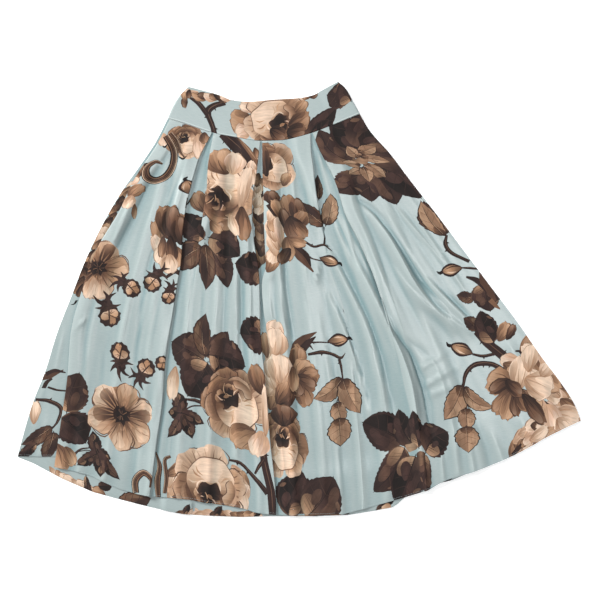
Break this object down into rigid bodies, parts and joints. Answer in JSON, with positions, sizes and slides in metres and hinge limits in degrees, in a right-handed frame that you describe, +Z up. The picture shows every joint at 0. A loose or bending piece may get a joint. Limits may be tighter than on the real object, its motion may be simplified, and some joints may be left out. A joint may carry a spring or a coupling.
{
  "type": "a-line skirt",
  "caption": "Flared A-line skirt of printed satin with inverted pleats and a wide contoured waistband, laid flat on a surface.",
  "frame": {"origin": "centre of the garment's box on the surface that it lies on", "axes": "+Z up from the surface, +Y from the hem towards the waistband, +X across the hem towards the wearer's left side"},
  "size_m": [1.1256, 0.869, 0.0159],
  "materials": {
    "printed_satin": "powder-blue satin with a large brown and beige rose and leaf print, soft sheen",
    "waistband_satin": "the same printed satin, interfaced, with an edge seam at its foot",
    "zip_tape": "matt woven tape"
  },
  "bodies": {
    "root": {"front_panel": "printed_satin", "back_panel": "printed_satin", "back_hem": "printed_satin", "front_waistband": "waistband_satin", "back_waistband": "waistband_satin", "side_zip": "zip_tape"}
  },
  "joints": []
}
